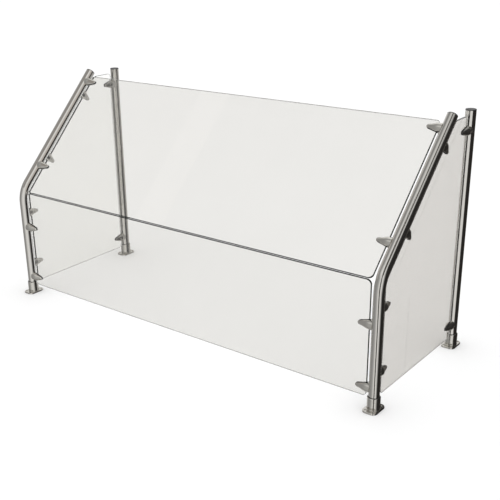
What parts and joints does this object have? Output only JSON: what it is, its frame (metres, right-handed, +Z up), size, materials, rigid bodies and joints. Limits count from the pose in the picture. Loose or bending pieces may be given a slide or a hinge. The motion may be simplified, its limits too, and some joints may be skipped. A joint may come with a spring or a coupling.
{
  "type": "countertop sneeze guard",
  "caption": "Countertop sneeze guard: round steel posts on flanged feet hold an upright lower glass, a sloped upper glass and five-sided end glass in slotted clips.",
  "frame": {"origin": "on the countertop, under the middle of the guard: midway between the left and right posts and between the front and rear posts", "axes": "+X to the right as the customer sees it from the front, +Y to the rear, towards the servers, +Z up"},
  "size_m": [1.179, 0.446, 0.6116],
  "materials": {
    "tube_steel": "lengthwise brushed stainless tube",
    "foot_steel": "satin cast stainless",
    "clip_steel": "satin cast stainless",
    "screw_steel": "plain stainless",
    "clear_glass": "clear tempered glass with ground edges",
    "gasket_rubber": "matte black rubber",
    "black_plastic": "matte black moulded cap"
  },
  "bodies": {
    "root": {"front_post_left": "tube_steel", "front_post_right": "tube_steel", "rear_post_left": "tube_steel", "rear_post_right": "tube_steel", "front_post_cap_left": "black_plastic", "front_post_cap_right": "black_plastic", "rear_post_cap_left": "black_plastic", "rear_post_cap_right": "black_plastic", "foot_front_left": "foot_steel", "foot_front_right": "foot_steel", "foot_rear_left": "foot_steel", "foot_rear_right": "foot_steel", "lower_front_glass": "clear_glass", "upper_front_glass": "clear_glass", "left_end_glass": "clear_glass", "right_end_glass": "clear_glass", "clip_left_lower_bottom": "clip_steel", "clip_left_lower_top": "clip_steel", "clip_left_upper_bottom": "clip_steel", "clip_left_upper_top": "clip_steel", "clip_left_end_front_bottom": "clip_steel", "clip_left_end_front_top": "clip_steel", "clip_left_end_slope_bottom": "clip_steel", "clip_left_end_slope_top": "clip_steel", "clip_left_end_rear_bottom": "clip_steel", "clip_left_end_rear_top": "clip_steel", "clip_right_lower_bottom": "clip_steel", "clip_right_lower_top": "clip_steel", "clip_right_upper_bottom": "clip_steel", "clip_right_upper_top": "clip_steel", "clip_right_end_front_bottom": "clip_steel", "clip_right_end_front_top": "clip_steel", "clip_right_end_slope_bottom": "clip_steel", "clip_right_end_slope_top": "clip_steel", "clip_right_end_rear_bottom": "clip_steel", "clip_right_end_rear_top": "clip_steel", "lower_gaskets": "gasket_rubber", "upper_gaskets": "gasket_rubber", "left_end_gaskets": "gasket_rubber", "right_end_gaskets": "gasket_rubber", "foot_set_screws": "screw_steel", "pressure_pads": "screw_steel", "grip_screws": "screw_steel", "fixing_screws": "screw_steel", "rivet_nuts": "screw_steel"}
  },
  "joints": []
}
